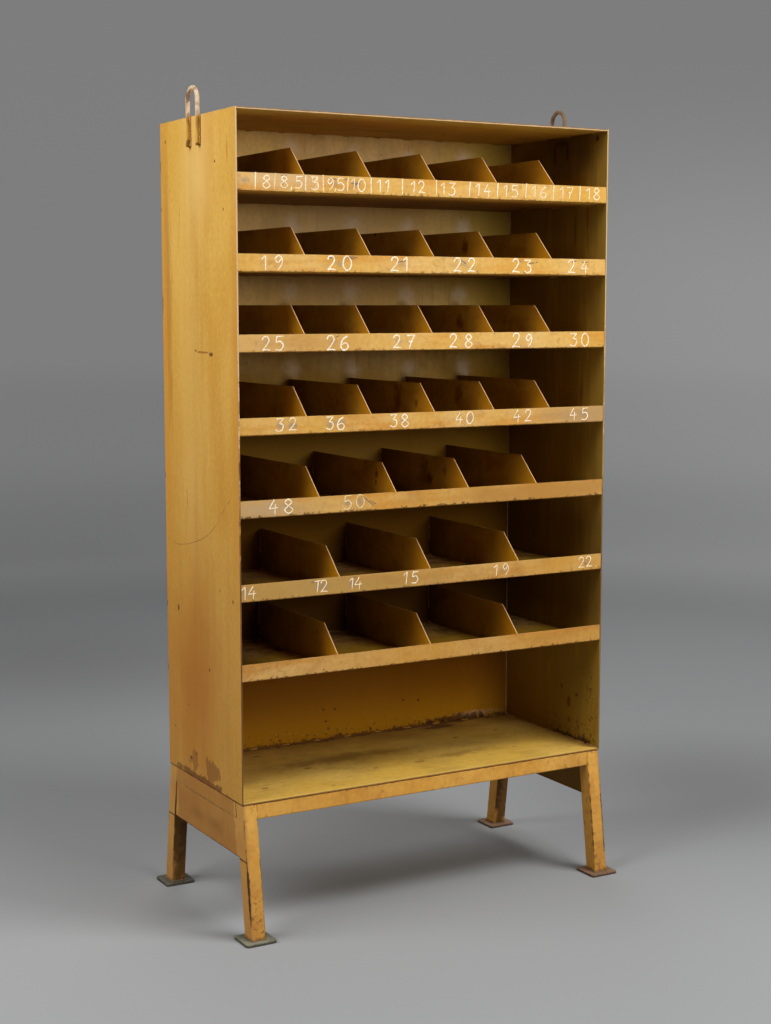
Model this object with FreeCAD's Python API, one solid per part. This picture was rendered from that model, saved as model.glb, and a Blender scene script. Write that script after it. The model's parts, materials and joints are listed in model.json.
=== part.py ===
import FreeCAD, Part
import math
import os

# Pigeonhole rack of welded sheet steel on a splayed tube stand, with a lifting loop on each side.
# Millimetres. X runs along the width, Y from front to back, Z up.
# The origin is on the floor, under the middle of the cabinet.

# ---------------------------------------------------------------- driving dimensions

# Cabinet shell, outside
cabinet_width = 1000.0
cabinet_depth = 425.0
cabinet_height = 1551.0
cabinet_clear_of_floor = 313.0

# Sheet thicknesses
side_sheet = 3.0
top_sheet = 4.0
back_sheet = 2.0
bottom_shelf_sheet = 3.0
tray_sheet = 2.0
divider_sheet = 2.0
apron_sheet = 2.0

# Shelf trays, from the top one down: how far the underside lies below the top of the cabinet, and
# how far each divider stands to the right of its even share of the width, as it was set by hand
tray_rows = [
    (179.0, [-2.0, 2.0, 6.0, 11.0, 10.0]),
    (354.0, [-2.0, 1.0, 4.0, 3.0, 5.0]),
    (530.0, [-3.0, -2.0, 0.0, 5.0, 3.0]),
    (714.0, [1.0, 2.0, 7.0, 8.0, 4.0]),
    (898.0, [-1.0, 2.0, 3.0, 1.0]),
    (1086.0, [1.0, -3.0, 0.0]),
    (1268.0, [-4.0, -2.0, -1.0]),
]
tray_lip_height = 40.0
tray_bend_radius = 3.0
tray_lip_setback = 0.5
tray_end_clearance = 0.5

# Dividers, which stand above the lip and slant back from it
divider_rise = 64.0
divider_slant_run = 67.0
divider_bend_clearance = 0.5

# Legs: upright rectangular tube that leans out to the front or the back
leg_width = 36.0
leg_depth = 40.0
leg_wall = 3.0
leg_corner_radius = 4.0
leg_splay_angle = 8.0
leg_side_inset = 1.0
leg_face_setback = 1.0

# Foot plates
foot_plate_side = 75.0
foot_plate_thickness = 6.0
foot_plate_corner_radius = 7.0

# Rails between the tops of the legs
rail_height = 38.0
rail_depth = 36.0
rail_wall = 3.0
rail_corner_radius = 4.0

# Apron plates under the side rails
apron_drop = 91.0
apron_recess = 3.0

# Lifting loops of round bar
loop_bar = 10.0
loop_span = 54.0
loop_rise = 67.0
loop_weld_length = 68.0
loop_behind_middle = 6.0
loop_panel_clearance = 0.2

# ---------------------------------------------------------------- places worked out from them

half_width = cabinet_width / 2
front = -cabinet_depth / 2
back = cabinet_depth / 2
bottom = cabinet_clear_of_floor
top = bottom + cabinet_height

inside_left = -half_width + side_sheet
inside_right = half_width - side_sheet
back_panel_face = back - back_sheet

lip_face = front + tray_lip_setback
lip_inside = lip_face + tray_sheet
tray_inner_radius = max(tray_bend_radius - tray_sheet, tray_bend_radius / 4)

leg_outer_face = half_width - leg_side_inset
leg_inner_face = leg_outer_face - leg_width
leg_front_face = front + leg_face_setback
leg_length = bottom - foot_plate_thickness
leg_lean = math.tan(math.radians(leg_splay_angle))

rail_underside = bottom - rail_height

tolerance = 1e-6

# ---------------------------------------------------------------- shape helpers


def box(x0, x1, y0, y1, z0, z1):
    """Solid box between two corners."""
    return Part.makeBox(x1 - x0, y1 - y0, z1 - z0, FreeCAD.Vector(x0, y0, z0))


def mirror_x(shape):
    """The same shape on the other side of the cabinet."""
    return shape.mirror(FreeCAD.Vector(0, 0, 0), FreeCAD.Vector(1, 0, 0))


def mirror_y(shape):
    """The same shape at the other end of the depth."""
    return shape.mirror(FreeCAD.Vector(0, 0, 0), FreeCAD.Vector(0, 1, 0))


def plate_across(x0, thickness, outline):
    """Flat plate square to X, from its outline as (y, z) points."""
    points = [FreeCAD.Vector(x0, y, z) for y, z in outline]
    face = Part.Face(Part.makePolygon(points + points[:1]))
    return face.extrude(FreeCAD.Vector(thickness, 0, 0))


def round_edges_along(solid, direction, radius):
    """Round every straight edge that runs along the given direction."""
    edges = []
    for edge in solid.Edges:
        run = edge.Vertexes[-1].Point - edge.Vertexes[0].Point
        if run.cross(direction).Length < tolerance:
            edges.append(edge)
    return solid.makeFillet(radius, edges)


def rounded_rectangle(x0, x1, y0, y1, z, radius):
    """Level face with round corners."""
    slab = round_edges_along(box(x0, x1, y0, y1, z - radius, z), FreeCAD.Vector(0, 0, 1), radius)
    return max(slab.Faces, key=lambda face: face.CenterOfMass.z)


def tube(x0, x1, y0, y1, z0, z1, direction, wall, corner_radius):
    """Rectangular tube along an axis, open at both ends, with rounded corners outside and inside."""
    outside = round_edges_along(box(x0, x1, y0, y1, z0, z1), direction, corner_radius)
    inward = [0.0 if value else wall for value in direction]
    bore = box(x0 + inward[0], x1 - inward[0], y0 + inward[1], y1 - inward[1],
               z0 + inward[2], z1 - inward[2])
    bore_radius = max(corner_radius - wall, corner_radius / 4)
    return outside.cut(round_edges_along(bore, direction, bore_radius))


# ---------------------------------------------------------------- cabinet shell


def side_panel():
    """Left side panel, the full height and depth of the cabinet."""
    return box(-half_width, inside_left, front, back, bottom, top)


def top_panel():
    return box(inside_left, inside_right, front, back, top - top_sheet, top)


def back_panel():
    return box(inside_left, inside_right, back_panel_face, back, bottom, top - top_sheet)


def bottom_shelf():
    return box(inside_left, inside_right, front, back_panel_face, bottom, bottom + bottom_shelf_sheet)


# ---------------------------------------------------------------- shelf trays and dividers


def tray(underside):
    """Flat shelf with its front edge bent up into a lip."""
    floor_top = underside + tray_sheet
    lip_top = underside + tray_lip_height
    outline = [
        (back_panel_face, underside),
        (lip_face, underside),
        (lip_face, lip_top),
        (lip_inside, lip_top),
        (lip_inside, floor_top),
        (back_panel_face, floor_top),
    ]
    x0 = inside_left + tray_end_clearance
    x1 = inside_right - tray_end_clearance
    sheet = plate_across(x0, x1 - x0, outline)
    for y, z, radius in ((lip_face, underside, tray_bend_radius),
                         (lip_inside, floor_top, tray_inner_radius)):
        bend = [edge for edge in sheet.Edges
                if all(math.hypot(v.Y - y, v.Z - z) < tolerance for v in edge.Vertexes)]
        sheet = sheet.makeFillet(radius, bend)
    return sheet


def divider(underside, x_middle):
    """Plate standing on a tray, against its lip and the back panel, with its front corner cut off."""
    floor_top = underside + tray_sheet
    lip_top = underside + tray_lip_height
    divider_top = lip_top + divider_rise
    notch = tray_inner_radius + divider_bend_clearance
    outline = [
        (back_panel_face, floor_top),
        (lip_inside + notch, floor_top),
        (lip_inside, floor_top + notch),
        (lip_inside, lip_top),
        (lip_inside + divider_slant_run, divider_top),
        (back_panel_face, divider_top),
    ]
    return plate_across(x_middle - divider_sheet / 2, divider_sheet, outline)


def divider_places(shifts):
    """X of each divider on a tray that is shared out between one more bin than it has dividers."""
    pitch = (inside_right - inside_left) / (len(shifts) + 1)
    return [inside_left + pitch * count + shift for count, shift in enumerate(shifts, start=1)]


# ---------------------------------------------------------------- stand


def leaning_prism(x0, x1, y0, y1, corner_radius):
    """Prism with level ends that leans to the front on its way down from the cabinet."""
    section = rounded_rectangle(x0, x1, y0, y1, bottom, corner_radius)
    return section.extrude(FreeCAD.Vector(0, -leg_lean * leg_length, -leg_length))


def front_left_leg():
    x0 = -leg_outer_face
    x1 = -leg_inner_face
    y0 = leg_front_face
    y1 = leg_front_face + leg_depth
    bore_radius = max(leg_corner_radius - leg_wall, leg_corner_radius / 4)
    outside = leaning_prism(x0, x1, y0, y1, leg_corner_radius)
    bore = leaning_prism(x0 + leg_wall, x1 - leg_wall, y0 + leg_wall, y1 - leg_wall, bore_radius)
    return outside.cut(bore)


def front_left_foot_plate():
    """Square plate centred under the foot of the leg."""
    x_middle = -(leg_outer_face + leg_inner_face) / 2
    y_middle = leg_front_face + leg_depth / 2 - leg_lean * leg_length
    half = foot_plate_side / 2
    section = rounded_rectangle(x_middle - half, x_middle + half, y_middle - half, y_middle + half,
                                foot_plate_thickness, foot_plate_corner_radius)
    return section.extrude(FreeCAD.Vector(0, 0, -foot_plate_thickness))


def front_rail():
    """Cross tube between the two front legs."""
    return tube(-leg_inner_face, leg_inner_face, leg_front_face, leg_front_face + rail_depth,
                rail_underside, bottom, FreeCAD.Vector(1, 0, 0), rail_wall, rail_corner_radius)


def between_left_legs(x0, thickness, z0, z1):
    """Block that fills the space between the front and rear left legs, over a height."""
    inner_low = leg_front_face + leg_depth - leg_lean * (bottom - z0)
    inner_high = leg_front_face + leg_depth - leg_lean * (bottom - z1)
    outline = [(inner_low, z0), (inner_high, z1), (-inner_high, z1), (-inner_low, z0)]
    return plate_across(x0, thickness, outline)


def left_side_rail():
    """Tube from the front leg to the rear leg, its ends cut to their slant."""
    x0 = -leg_outer_face
    long_tube = tube(x0, x0 + rail_depth, front, back, rail_underside, bottom,
                     FreeCAD.Vector(0, 1, 0), rail_wall, rail_corner_radius)
    return long_tube.common(between_left_legs(x0, rail_depth, rail_underside, bottom))


def left_apron():
    """Flat plate between the legs, under the side rail and set back from its face."""
    x0 = -leg_outer_face + apron_recess
    return between_left_legs(x0, apron_sheet, rail_underside - apron_drop, rail_underside)


# ---------------------------------------------------------------- lifting loops


def left_lifting_loop():
    """Round bar bent into a hairpin and standing against the outside of the side panel."""
    x = -half_width - loop_panel_clearance - loop_bar / 2
    bend_radius = loop_span / 2
    bend_height = top + loop_rise - loop_bar / 2 - bend_radius
    foot_height = top - loop_weld_length
    y0 = loop_behind_middle - bend_radius
    y1 = loop_behind_middle + bend_radius
    front_foot = FreeCAD.Vector(x, y0, foot_height)
    front_bend = FreeCAD.Vector(x, y0, bend_height)
    crown = FreeCAD.Vector(x, loop_behind_middle, bend_height + bend_radius)
    rear_bend = FreeCAD.Vector(x, y1, bend_height)
    rear_foot = FreeCAD.Vector(x, y1, foot_height)
    line = Part.Wire([
        Part.makeLine(front_foot, front_bend),
        Part.Arc(front_bend, crown, rear_bend).toShape(),
        Part.makeLine(rear_bend, rear_foot),
    ])
    section = Part.Wire(Part.makeCircle(loop_bar / 2, front_foot, FreeCAD.Vector(0, 0, 1)))
    return line.makePipeShell([section], True, False)


# ---------------------------------------------------------------- the assembly


def cabinet_nodes():
    left = side_panel()
    return {
        "left_side_panel": left,
        "right_side_panel": mirror_x(left),
        "top_panel": top_panel(),
        "back_panel": back_panel(),
        "bottom_shelf": bottom_shelf(),
    }


def tray_nodes():
    nodes = {}
    for row, (drop, shifts) in enumerate(tray_rows, start=1):
        nodes[f"tray_{row}"] = tray(top - drop)
        for place, x_middle in enumerate(divider_places(shifts), start=1):
            nodes[f"divider_{row}_{place}"] = divider(top - drop, x_middle)
    return nodes


def stand_nodes():
    leg = front_left_leg()
    plate = front_left_foot_plate()
    rail = front_rail()
    side_rail = left_side_rail()
    apron = left_apron()
    return {
        "front_left_leg": leg,
        "front_right_leg": mirror_x(leg),
        "rear_left_leg": mirror_y(leg),
        "rear_right_leg": mirror_x(mirror_y(leg)),
        "front_left_foot_plate": plate,
        "front_right_foot_plate": mirror_x(plate),
        "rear_left_foot_plate": mirror_y(plate),
        "rear_right_foot_plate": mirror_x(mirror_y(plate)),
        "front_rail": rail,
        "rear_rail": mirror_y(rail),
        "left_side_rail": side_rail,
        "right_side_rail": mirror_x(side_rail),
        "left_apron": apron,
        "right_apron": mirror_x(apron),
    }


def loop_nodes():
    loop = left_lifting_loop()
    return {
        "left_lifting_loop": loop,
        "right_lifting_loop": mirror_x(loop),
    }


os.makedirs("parts", exist_ok=True)
for nodes in (cabinet_nodes(), tray_nodes(), stand_nodes(), loop_nodes()):
    for name, shape in nodes.items():
        shape.exportStep(f"parts/{name}.step")
        solids = len(shape.Solids)
        print(f"{name}: {solids} solid, valid {shape.isValid()}, {shape.Volume / 1000:.1f} cm3")
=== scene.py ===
import json
import math
import random

import bpy
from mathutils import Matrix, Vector


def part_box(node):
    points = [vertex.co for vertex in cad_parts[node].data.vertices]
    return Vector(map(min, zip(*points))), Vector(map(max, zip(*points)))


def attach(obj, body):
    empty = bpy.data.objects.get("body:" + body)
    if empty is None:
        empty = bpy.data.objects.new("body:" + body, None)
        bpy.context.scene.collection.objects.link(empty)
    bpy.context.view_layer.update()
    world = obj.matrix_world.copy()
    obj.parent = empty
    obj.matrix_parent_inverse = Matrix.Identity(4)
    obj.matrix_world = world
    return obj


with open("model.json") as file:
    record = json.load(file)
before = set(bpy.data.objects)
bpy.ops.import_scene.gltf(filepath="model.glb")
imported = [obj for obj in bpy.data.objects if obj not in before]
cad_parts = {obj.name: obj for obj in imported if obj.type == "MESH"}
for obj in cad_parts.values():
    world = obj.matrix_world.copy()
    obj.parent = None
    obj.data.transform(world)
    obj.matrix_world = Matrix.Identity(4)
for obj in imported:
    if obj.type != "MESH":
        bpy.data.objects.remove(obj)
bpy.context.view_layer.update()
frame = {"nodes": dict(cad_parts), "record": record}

# Welded sheet-steel pigeonhole rack in worn ochre enamel. Metres; X along the width, Y to the back, Z up.
# Colours are screen colours, 0xRRGGBB.

MM = 0.001
ROWS = range(1, 8)
X, Y, Z = range(3)

# ---------------- places read from the frame

side_lo, side_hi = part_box("left_side_panel")
inside_left = side_hi.x
inside_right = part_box("right_side_panel")[0].x
outside_left = side_lo.x
front, back = side_lo.y, side_hi.y
bottom, top = side_lo.z, side_hi.z
back_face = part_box("back_panel")[0].y
shelf_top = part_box("bottom_shelf")[1].z
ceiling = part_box("top_panel")[0].z
tray_low = {row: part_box(f"tray_{row}")[0].z for row in ROWS}
lip_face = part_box("tray_1")[0].y
rail_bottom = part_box("front_rail")[0].z
rail_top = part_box("front_rail")[1].z
plate_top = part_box("front_left_foot_plate")[1].z
divider_boxes = {name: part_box(name) for name in sorted(frame["nodes"]) if name.startswith("divider_")}


# ---------------- node trees

def operator(operation, turned=False):
    """Method for a sign between values, such as +, that adds the node that works it out."""
    if turned:
        return lambda self, other: self.nodes.math(operation, other, self)
    return lambda self, other: self.nodes.math(operation, self, other)


class Value:
    """One output of a node. Sums of values are made of nodes too; a | b is the greater of two."""

    __add__ = operator("ADD")
    __sub__ = operator("SUBTRACT")
    __rsub__ = operator("SUBTRACT", turned=True)
    __mul__ = operator("MULTIPLY")
    __truediv__ = operator("DIVIDE")
    __rtruediv__ = operator("DIVIDE", turned=True)
    __or__ = operator("MAXIMUM")

    def __init__(self, nodes, socket):
        self.nodes = nodes
        self.socket = socket
        self.vector = socket.type == "VECTOR"

    def length(self):
        return self.nodes.add("ShaderNodeVectorMath", {0: self}, operation="LENGTH")[1]

    def along(self, other):
        return self.nodes.add("ShaderNodeVectorMath", {0: self, 1: other}, operation="DOT_PRODUCT")[1]

    def clamped(self):
        self.socket.node.use_clamp = True
        return self

    def span(self, low, high, out_low=0.0, out_high=1.0):
        """Smooth step between two numbers, from one result to another."""
        inputs = {"Value": self, "From Min": low, "From Max": high, "To Min": out_low, "To Max": out_high}
        return self.nodes.add("ShaderNodeMapRange", inputs, interpolation_type="SMOOTHSTEP")[0]


class Outputs:
    """Outputs of a node by number or name, with _ for a space."""

    def __init__(self, nodes, node):
        self.nodes = nodes
        self.node = node

    def __getitem__(self, key):
        return Value(self.nodes, self.node.outputs[key])

    def __getattr__(self, name):
        return self[name.replace("_", " ")]


class Nodes:
    """Adds nodes to one tree, setting or linking their inputs, and keeps the colour reached so far."""

    def __init__(self, tree):
        self.tree = tree
        self.colour = None

    def add(self, kind, inputs=None, **settings):
        node = self.tree.nodes.new(kind)
        for name, value in settings.items():
            setattr(node, name, value)
        for key, value in (inputs or {}).items():
            socket = node.inputs[key]
            if isinstance(value, Value):
                self.tree.links.new(value.socket, socket)
            else:
                socket.default_value = linear(value) if socket.type == "RGBA" else value
        return Outputs(self, node)

    def math(self, operation, a, b=0.0):
        vector = any(isinstance(value, tuple) or getattr(value, "vector", False) for value in (a, b))
        kind = "ShaderNodeVectorMath" if vector else "ShaderNodeMath"
        return self.add(kind, {0: a, 1: b}, operation=operation)[0]

    def xyz(self, vector):
        return self.add("ShaderNodeSeparateXYZ", {0: vector})

    def noise(self, vector, scale, detail=3.0, roughness=0.55):
        inputs = {"Vector": vector, "Scale": scale, "Detail": detail, "Roughness": roughness}
        return self.add("ShaderNodeTexNoise", inputs)[0]

    def mix(self, share, a, b, blend="MIX"):
        return self.add("ShaderNodeMix", {0: share, 6: a, 7: b}, data_type="RGBA", blend_type=blend)[2]

    def coat(self, share, tint):
        """Lays a share of one more colour over the colour so far."""
        self.colour = self.mix(share, self.colour, tint)

    def group(self, tree, **inputs):
        named = {name.replace("_", " "): value for name, value in inputs.items()}
        return self.add("ShaderNodeGroup", named, node_tree=tree)

    def give(self, **values):
        """Ends a group with its outputs, and returns its tree."""
        kinds = {"RGBA": "Color", "VALUE": "Float", "GEOMETRY": "Geometry"}
        for name, value in values.items():
            kind = "NodeSocket" + kinds[value.socket.type]
            self.tree.interface.new_socket(name, in_out="OUTPUT", socket_type=kind)
        self.add("NodeGroupOutput", values)
        return self.tree


def linear(colour):
    """Linear colour from a screen colour. One that is linear already stays as it is."""
    if not isinstance(colour, int):
        return colour
    channels = [(colour >> shift & 255) / 255 for shift in (16, 8, 0)]
    return [c / 12.92 if c <= 0.04045 else ((c + 0.055) / 1.055) ** 2.4 for c in channels] + [1.0]


def new_group(name, family="Shader", **inputs):
    """New node group: its nodes and its inputs. An input is given as its usual value, or by its kind."""
    tree = bpy.data.node_groups.new(name, family + "NodeTree")
    for label, value in inputs.items():
        usual = not isinstance(value, str)
        kind = {tuple: "Vector", int: "Color", float: "Float"}[type(value)] if usual else value
        socket = tree.interface.new_socket(label.replace("_", " "), in_out="INPUT",
                                           socket_type="NodeSocket" + kind)
        if usual:
            socket.default_value = linear(value)
    n = Nodes(tree)
    return n, n.add("NodeGroupInput")


# ---------------- shared surface effects

OCHRE = 0xD4A242
PALE_OCHRE = 0xE0B45C
ORANGE_OCHRE = 0xC8882C
BROWN_OCHRE = 0x966022
GREEN_OCHRE = 0xD8AC42
DARK_BROWN = 0x583212
GREY_DUST = 0xA8987C
WORN_PRIMER = 0xDCB888
RUST = 0x542C10
DEEP_RUST = 0x321A0C
CORNER_DIRT_AND_SHADE_TINT = (0.035, 0.016, 0.006, 1)


def edge_wear_group():
    """Mask of the sharp edges of a sheet, broken up as rubbed paint is."""
    n, given = new_group("edge_wear", Vector="Vector", Width=1.2 * MM, Amount=0.5)
    rounded = n.add("ShaderNodeBevel", {"Radius": given.Width}, samples=4)[0]
    bend = 1.0 - rounded.along(n.add("ShaderNodeNewGeometry").Normal)
    threshold = 0.85 - given.Amount
    rubbed = n.noise(given.Vector, 38, 4, 0.65).span(threshold - 0.12, threshold + 0.12)
    return n.give(Mask=bend.span(0.01, 0.14) * rubbed)


def crevice_dirt_and_shade_group():
    """Mask of the corners where plates meet: dirt that gathers there, and painted shade in them."""
    n, given = new_group("crevice_dirt", Vector="Vector", Reach=40 * MM, Amount=0.5)
    light = n.add("ShaderNodeAmbientOcclusion", {"Distance": given.Reach}, samples=6).AO
    smudge = n.noise(given.Vector, 24, 5, 0.6)
    shut = 1.0 - light + (smudge - 0.5) * 0.7
    return n.give(Mask=(shut.span(0.25, 0.95) * given.Amount).clamped())


def specks_group():
    """Mask of small chips and rust specks strewn over a surface."""
    n, given = new_group("specks", Vector="Vector", Spacing=30 * MM, Size=1.6 * MM, Share=0.3)
    cells = n.add("ShaderNodeTexVoronoi", {"Vector": given.Vector, "Scale": 1.0 / given.Spacing})
    luck = n.add("ShaderNodeSeparateColor", {0: cells.Color})
    wobble = n.noise(given.Vector, 260, 2)
    ragged = given.Size * (luck[1] * luck[2] + 0.35) + (wobble - 0.5) * given.Size
    spot = 1.0 - (cells.Distance * given.Spacing).span(ragged * 0.55, ragged)
    return n.give(Mask=(spot * n.math("LESS_THAN", luck[0], given.Share)).clamped())


def stain_group():
    """Mask of one mark at a known place, with a ragged edge."""
    n, given = new_group(
        "stain", Place="Vector", Centre=(0, 0, 0), Size=(1, 1, 1), Shake=0.0, Ragged=0.5, Core=0.6,
        Strength=1.0)
    away = ((given.Place - given.Centre) / given.Size).length()
    reach = away + given.Shake * given.Ragged
    return n.give(Mask=((1.0 - reach.span(given.Core, 1.0)) * given.Strength).clamped())


EDGE_WEAR = edge_wear_group()
CREVICE_DIRT_AND_SHADE = crevice_dirt_and_shade_group()
SPECKS = specks_group()
STAIN = stain_group()


def enamel_group():
    """Old ochre enamel: mottled, streaked, grimy low down, dirt and painted shade in corners, dusty on top,
    worn at edges.
    """
    n, given = new_group(
        "worn_enamel", Vector="Vector", Paint=OCHRE, Faded=PALE_OCHRE, Smear=ORANGE_OCHRE, Grime=BROWN_OCHRE,
        Dust=GREY_DUST, Worn=WORN_PRIMER, Rust=RUST, Grain=(16, 16, 1.3), Scratch_Grain=(90, 90, 5),
        Mottle=0.5, Smears=0.4, Scratches=0.3, Streaks=0.3, Low_Grime=0.3, Grime_Low=0.3, Grime_High=1.8,
        Crevice=0.5, Reach=40 * MM, Dustiness=0.2, Wear=0.4, Edge_Width=1.2 * MM, Speck_Share=0.2,
        Chip_Share=0.2, Gloss=0.5)
    where = given.Vector
    drawn = n.noise(where * given.Grain, 1, 5, 0.62)
    broad = n.noise(where * (given.Grain * (0.42, 0.42, 1.7)), 1, 4, 0.6)
    cloud = n.noise(where, 4.3, 4)
    fine = n.noise(where, 90, 4, 0.6)

    n.colour = n.mix(cloud.span(0.36, 0.66) * given.Mottle, given.Paint, given.Faded)
    n.coat(broad.span(0.47, 0.66) * given.Smears, given.Smear)
    n.coat(drawn.span(0.5, 0.72) * given.Streaks, given.Grime)
    n.coat(drawn.span(0.46, 0.3) * (given.Streaks * 0.5), given.Faded)
    low = n.xyz(where).Z.span(given.Grime_High, given.Grime_Low) * (drawn * 0.8 + 0.55)
    n.coat((low * given.Low_Grime).clamped(), given.Grime)

    darker = n.mix(1.0, n.colour, (0.84, 0.82, 0.76, 1), "MULTIPLY")
    lighter = n.mix(1.0, n.colour, (1.13, 1.14, 1.17, 1), "MULTIPLY")
    n.colour = n.mix(((fine - 0.5) * 1.6 + 0.5).clamped(), darker, lighter)
    line = n.noise(where * given.Scratch_Grain, 1, 2, 0.5).span(0.63, 0.68) * cloud.span(0.4, 0.58)
    n.coat(line * given.Scratches, n.mix(0.5, given.Grime, given.Rust))

    # corners and recesses darkened by an occlusion mask: dirt, and painted shade
    dirt = n.group(CREVICE_DIRT_AND_SHADE, Vector=where, Reach=given.Reach, Amount=given.Crevice).Mask
    n.coat(dirt, n.mix(0.6, given.Grime, CORNER_DIRT_AND_SHADE_TINT))
    up = n.xyz(n.add("ShaderNodeNewGeometry").Normal).Z
    settled = up.span(0.3, 0.9) * cloud.span(0.25, 0.6, 0.45, 1.0) * given.Dustiness
    n.coat(settled, given.Dust)

    small = n.group(SPECKS, Vector=where, Spacing=24 * MM, Size=2.2 * MM, Share=given.Speck_Share).Mask
    large = n.group(SPECKS, Vector=where, Spacing=85 * MM, Size=5.5 * MM, Share=given.Chip_Share).Mask
    chip = small | large
    n.coat(chip * 0.85, given.Rust)
    edge = n.group(EDGE_WEAR, Vector=where, Width=given.Edge_Width, Amount=given.Wear).Mask
    rusty = n.noise(where, 13).span(0.48, 0.58)
    n.coat(edge * 0.9, n.mix(rusty, given.Worn, given.Rust))

    bare = chip | edge
    rough = 0.92 - given.Gloss * 0.65 + (fine - 0.5) * 0.3
    relief = fine * 0.5 + n.noise(where, 420, 2) * 0.22 - bare * 0.7
    return n.give(Color=n.colour, Roughness=(rough + (dirt | settled | bare) * 0.25).clamped(),
                  Height=relief, Fine=fine)


ENAMEL = enamel_group()

# ---------------- marks at known places

FAR = 5000  # mm; a mark this long runs right across the rack


def marks_on(axis, level, deep, rows):
    """Marks on a flat face, square to an axis and at a level along it, that reach so many mm off the face.

    Each row: colour, strength, middle along the other two axes, half size along them in mm, how ragged the
    edge is, the grain of its rags per metre and, where it isn't 0.6, the share of the mark that is solid.
    """
    marks = []
    for colour, strength, u, v, wide, high, *edge in rows:
        centre, size = [u, v], [wide, high]
        centre.insert(axis, level)
        size.insert(axis, deep)
        marks.append((colour, strength, centre, size, *edge))
    return marks


def front_edge_mark(colour, strength, z=1.0, high=FAR, ragged=0.6, grain=45):
    """Scuffed paint on the edge of a sheet that faces forwards."""
    return marks_on(Y, front, 1.2, [(colour, strength, 0.0, z, FAR, high, ragged, grain)])


def seam_mark(strength, z, reach):
    """Rusty broken line along the level seam between two parts."""
    return marks_on(Z, z, reach, [(RUST, strength, 0.0, 0.0, FAR, FAR, 1.4, 26)])


def add_marks(n, where, place, marks):
    """Lays marks over the colour so far. Gives a mask of all that they cover."""
    cover = 0.0
    shakes = {}
    for tint, strength, centre, size, ragged, grain, *core in marks:
        if grain not in shakes:
            shakes[grain] = n.noise(where, grain, 4, 0.65) - 0.5
        mask = n.group(STAIN, Place=place, Centre=centre, Size=[part * MM for part in size],
                       Shake=shakes[grain], Ragged=ragged, Core=core[0] if core else 0.6,
                       Strength=strength).Mask
        n.coat(mask, tint)
        cover = mask | cover
    return cover


# ---------------- finishes

def new_material(name):
    material = bpy.data.materials.new(name)
    material.use_nodes = True
    material.node_tree.nodes.clear()
    n = Nodes(material.node_tree)
    return material, n, n.add("ShaderNodeTexCoord").Object


def surface(n, rough, height, bump, depth=0.2 * MM, **settings):
    """Ends a material with the colour so far, a roughness and a relief."""
    relief = n.add("ShaderNodeBump", {"Strength": bump, "Distance": depth, "Height": height})[0]
    inputs = {"Base Color": n.colour, "Roughness": rough, "Normal": relief}
    for name, value in settings.items():
        inputs[name.replace("_", " ")] = value
    shader = n.add("ShaderNodeBsdfPrincipled", inputs)
    n.add("ShaderNodeOutputMaterial", {"Surface": shader[0]})


def enamel(name, marks=(), runs=(), fold=None, cut=None, specular=0.25, bump=0.35, wave=0.0, **look):
    """Worn enamel with its own colours and amounts, and marks at known places. Runs are marks with upright
    ragged streaks, cut is the colour of cut edges that face forwards, and wave is how uneven the sheet is."""
    material, n, where = new_material(name)
    paint = n.group(ENAMEL, Vector=where, **look)
    n.colour = paint.Color
    place = fold(n, where) if fold else where
    add_marks(n, where * (1.0, 1.0, 0.1), place, runs)
    cover = add_marks(n, where, place, marks)
    if cut:
        forwards = n.xyz(n.add("ShaderNodeNewGeometry").Normal).Y.span(-0.3, -0.6)
        n.coat(forwards * paint.Fine.span(0.3, 0.5, 0.5), cut)
    height = paint.Height
    if wave:
        height = height + n.noise(where * (3.0, 3.0, 1.6), 1, 1) * wave
    surface(n, (paint.Roughness + cover * 0.15).clamped(), height, bump, 0.4 * MM,
            Specular_IOR_Level=specular)
    return material


# Chips on the outside of the left side panel: place towards the back and height, then half width and half
# height in mm
SIDE_CHIPS = [
    (back, 1.767, 3, 18), (back, 1.663, 3, 7), (back, 1.440, 4, 28), (back, 1.029, 3, 8),
    (back, 0.715, 4, 10), (back, 0.557, 4, 9), (0.182, 1.819, 4, 5), (-0.101, 1.755, 4, 4),
    (-0.145, 1.648, 3, 4), (0.142, 0.714, 6, 9), (-0.038, 0.593, 5, 5), (-0.103, 0.790, 3, 4),
    (0.172, 0.416, 3, 4), (-0.174, 0.774, 4, 6), (0.078, 0.357, 8, 5), (0.047, 0.373, 5, 3),
    (0.089, 0.484, 3, 3),
]


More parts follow.
